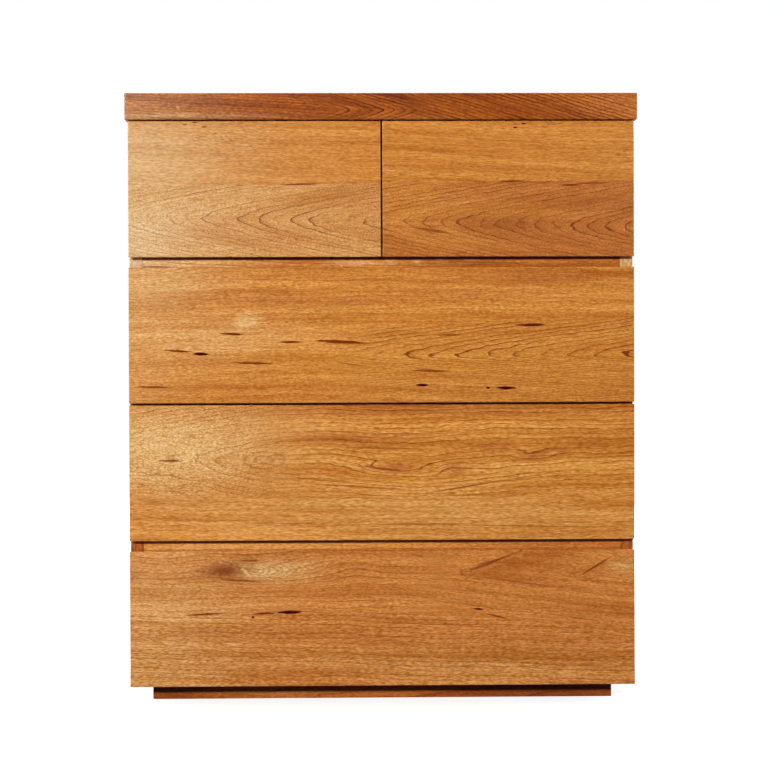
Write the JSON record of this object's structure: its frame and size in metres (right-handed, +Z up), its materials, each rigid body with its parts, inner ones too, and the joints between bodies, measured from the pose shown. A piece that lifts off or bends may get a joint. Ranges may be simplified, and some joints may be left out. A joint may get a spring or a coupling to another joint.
{
  "type": "tallboy",
  "caption": "Tall chest with an overhanging slab top, handle-less sliding drawers pulled at finger gaps, and a low recessed plinth; stores folded clothes.",
  "frame": {"origin": "centre of the footprint of the overall box, at floor level", "axes": "+Z up, +X to the right seen from the front, +Y towards the back; the drawers open along -Y"},
  "size_m": [1, 0.46, 1.19],
  "materials": {
    "back_wood": "oiled timber",
    "drawer_wood": "pale oiled timber",
    "felt": "felt",
    "lower_drawer_front": "oiled cherry-like timber",
    "middle_drawer_front": "oiled cherry-like timber",
    "plinth_wood": "oiled dark reddish timber",
    "rail_wood": "oiled cherry-like timber",
    "runner_wood": "waxed timber",
    "screw_steel": "zinc plated",
    "side_wood": "oiled cherry-like timber",
    "stop_wood": "oiled timber",
    "top_left_drawer_front": "oiled cherry-like timber",
    "top_panel": "oiled reddish cherry-like timber",
    "top_right_drawer_front": "oiled cherry-like timber",
    "upper_drawer_front": "oiled cherry-like timber"
  },
  "bodies": {
    "carcass": {"back_panel": "back_wood", "back_screws": "screw_steel", "bottom_panel": "rail_wood", "bumpers": "felt", "centre_divider": "rail_wood", "left_side_panel": "side_wood", "lower_front_rail": "rail_wood", "lower_left_runner": "runner_wood", "lower_right_runner": "runner_wood", "middle_front_rail": "rail_wood", "middle_left_runner": "runner_wood", "middle_right_runner": "runner_wood", "plinth_bearer": "plinth_wood", "plinth_front": "plinth_wood", "plinth_left": "plinth_wood", "plinth_rear": "plinth_wood", "plinth_right": "plinth_wood", "plinth_screws": "screw_steel", "right_side_panel": "side_wood", "top_front_rail": "rail_wood", "top_panel": "top_panel", "top_rear_rail": "rail_wood", "top_screws": "screw_steel", "upper_centre_runner": "runner_wood", "upper_front_rail": "rail_wood", "upper_left_runner": "runner_wood", "upper_rear_rail": "rail_wood", "upper_right_runner": "runner_wood"},
    "top_left_drawer": {"top_left_drawer_back": "drawer_wood", "top_left_drawer_bottom": "drawer_wood", "top_left_drawer_front": "top_left_drawer_front", "top_left_drawer_left_side": "drawer_wood", "top_left_drawer_right_side": "drawer_wood"},
    "top_left_drawer_stop": {"top_left_drawer_stop": "stop_wood"},
    "top_right_drawer": {"top_right_drawer_back": "drawer_wood", "top_right_drawer_bottom": "drawer_wood", "top_right_drawer_front": "top_right_drawer_front", "top_right_drawer_left_side": "drawer_wood", "top_right_drawer_right_side": "drawer_wood"},
    "top_right_drawer_stop": {"top_right_drawer_stop": "stop_wood"},
    "upper_drawer": {"upper_drawer_back": "drawer_wood", "upper_drawer_bottom": "drawer_wood", "upper_drawer_front": "upper_drawer_front", "upper_drawer_left_side": "drawer_wood", "upper_drawer_right_side": "drawer_wood"},
    "upper_drawer_stop": {"upper_drawer_stop": "stop_wood"},
    "middle_drawer": {"middle_drawer_back": "drawer_wood", "middle_drawer_bottom": "drawer_wood", "middle_drawer_front": "middle_drawer_front", "middle_drawer_left_side": "drawer_wood", "middle_drawer_right_side": "drawer_wood"},
    "middle_drawer_stop": {"middle_drawer_stop": "stop_wood"},
    "lower_drawer": {"lower_drawer_back": "drawer_wood", "lower_drawer_bottom": "drawer_wood", "lower_drawer_front": "lower_drawer_front", "lower_drawer_left_side": "drawer_wood", "lower_drawer_right_side": "drawer_wood"},
    "lower_drawer_stop": {"lower_drawer_stop": "stop_wood"}
  },
  "joints": [
    {"name": "top_left_drawer_slide", "type": "slide", "parent": "carcass", "child": "top_left_drawer", "axis": [0, -1, 0], "range_m": [0, 0.303]},
    {"name": "top_left_drawer_stop_turn", "type": "hinge", "parent": "top_left_drawer", "child": "top_left_drawer_stop", "pos_m": [-0.24075, 0.176, 1.084], "axis": [0, 1, 0], "range_deg": [0, 90]},
    {"name": "top_right_drawer_slide", "type": "slide", "parent": "carcass", "child": "top_right_drawer", "axis": [0, -1, 0], "range_m": [0, 0.303]},
    {"name": "top_right_drawer_stop_turn", "type": "hinge", "parent": "top_right_drawer", "child": "top_right_drawer_stop", "pos_m": [0.24075, 0.176, 1.084], "axis": [0, 1, 0], "range_deg": [0, 90]},
    {"name": "upper_drawer_slide", "type": "slide", "parent": "carcass", "child": "upper_drawer", "axis": [0, -1, 0], "range_m": [0, 0.303]},
    {"name": "upper_drawer_stop_turn", "type": "hinge", "parent": "upper_drawer", "child": "upper_drawer_stop", "pos_m": [0.15, 0.176, 0.8195], "axis": [0, 1, 0], "range_deg": [0, 90]},
    {"name": "middle_drawer_slide", "type": "slide", "parent": "carcass", "child": "middle_drawer", "axis": [0, -1, 0], "range_m": [0, 0.303]},
    {"name": "middle_drawer_stop_turn", "type": "hinge", "parent": "middle_drawer", "child": "middle_drawer_stop", "pos_m": [0.15, 0.176, 0.5425], "axis": [0, 1, 0], "range_deg": [0, 90]},
    {"name": "lower_drawer_slide", "type": "slide", "parent": "carcass", "child": "lower_drawer", "axis": [0, -1, 0], "range_m": [0, 0.303]},
    {"name": "lower_drawer_stop_turn", "type": "hinge", "parent": "lower_drawer", "child": "lower_drawer_stop", "pos_m": [0.15, 0.176, 0.2655], "axis": [0, 1, 0], "range_deg": [0, 90]}
  ]
}
